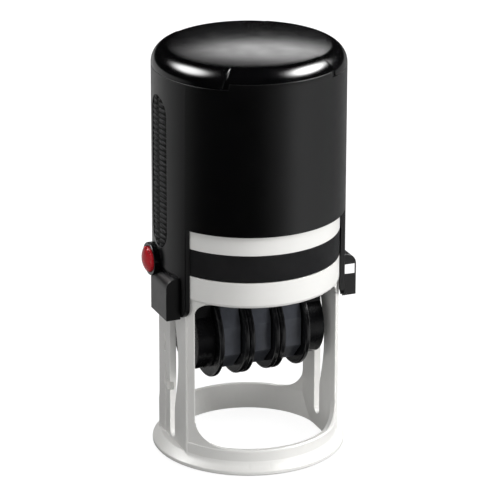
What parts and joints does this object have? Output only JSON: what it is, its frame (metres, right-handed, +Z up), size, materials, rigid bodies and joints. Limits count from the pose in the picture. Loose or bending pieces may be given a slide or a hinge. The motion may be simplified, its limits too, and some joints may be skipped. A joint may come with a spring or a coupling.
{
  "type": "self-inking date stamp",
  "caption": "Round self-inking date stamp: a black sprung cap slides on a pale open frame and flips a date unit with bands and wheels from ink pad to paper.",
  "frame": {"origin": "on the vertical axis of the cap and base ring, at the level of the paper that the base ring stands on", "axes": "+Z up along the press direction, -Y is the front where the tray band shows, the lock button is on the -X side"},
  "size_m": [0.0591, 0.0546, 0.1184],
  "materials": {
    "pale_plastic": "satin moulded, near white",
    "black_satin": "fine satin texture",
    "black_gloss": "high gloss",
    "black_rubber": "dull, ridged",
    "red_plastic": "smooth gloss",
    "dark_plastic": "smooth semi gloss",
    "band_rubber": "smooth dull",
    "stamp_rubber": "smooth dull",
    "inner_plastic": "plain moulded",
    "ink_felt": "soaked felt",
    "steel_wire": "drawn wire",
    "steel_pin": "turned"
  },
  "bodies": {
    "frame": {"base_frame": "pale_plastic", "pad_tray": "black_satin", "ink_pad": "ink_felt", "return_spring": "steel_wire"},
    "cap": {"cap_shell": "black_satin", "top_cover": "black_gloss", "left_grip": "black_rubber", "right_grip": "black_rubber", "left_clip": "black_satin", "right_clip": "black_satin", "left_pivot_pin": "steel_pin", "right_pivot_pin": "steel_pin", "button_housing": "black_gloss", "button_spring": "steel_wire"},
    "button": {"lock_button": "red_plastic"},
    "carrier": {"date_carrier": "dark_plastic", "text_plate": "stamp_rubber", "nose_bar": "inner_plastic", "wheel_axle": "steel_pin", "day_band": "band_rubber", "month_band": "band_rubber", "year_band": "band_rubber"},
    "day_dial": {"day_wheel": "dark_plastic"},
    "month_dial": {"month_wheel": "dark_plastic"},
    "year_dial": {"year_wheel": "dark_plastic"}
  },
  "joints": [
    {"name": "press_slide", "type": "slide", "parent": "frame", "child": "cap", "axis": [0, 0, -1], "range_m": [0, 0.0387], "stiffness_N_per_m": 408, "springref_m": -0.0194, "deforming": ["return_spring", "ink_pad"]},
    {"name": "carrier_flip", "type": "hinge", "parent": "cap", "child": "carrier", "pos_m": [0, 0, 0.0476], "axis": [-1, 0, 0], "range_deg": [0, 180]},
    {"name": "button_press", "type": "slide", "parent": "cap", "child": "button", "axis": [1, 0, 0], "range_m": [0, 0.0012], "stiffness_N_per_m": 300, "springref_m": -0.001, "deforming": ["button_spring"]},
    {"name": "day_turn", "type": "hinge", "parent": "carrier", "child": "day_dial", "pos_m": [-0.0092, 0, 0.0346], "axis": [1, 0, 0], "continuous": true},
    {"name": "month_turn", "type": "hinge", "parent": "carrier", "child": "month_dial", "pos_m": [0, 0, 0.0346], "axis": [1, 0, 0], "continuous": true},
    {"name": "year_turn", "type": "hinge", "parent": "carrier", "child": "year_dial", "pos_m": [0.0092, 0, 0.0346], "axis": [1, 0, 0], "continuous": true}
  ],
  "couplings": [
    {"joint": "carrier_flip", "follows": "press_slide", "rad_per_m": 81.17}
  ]
}
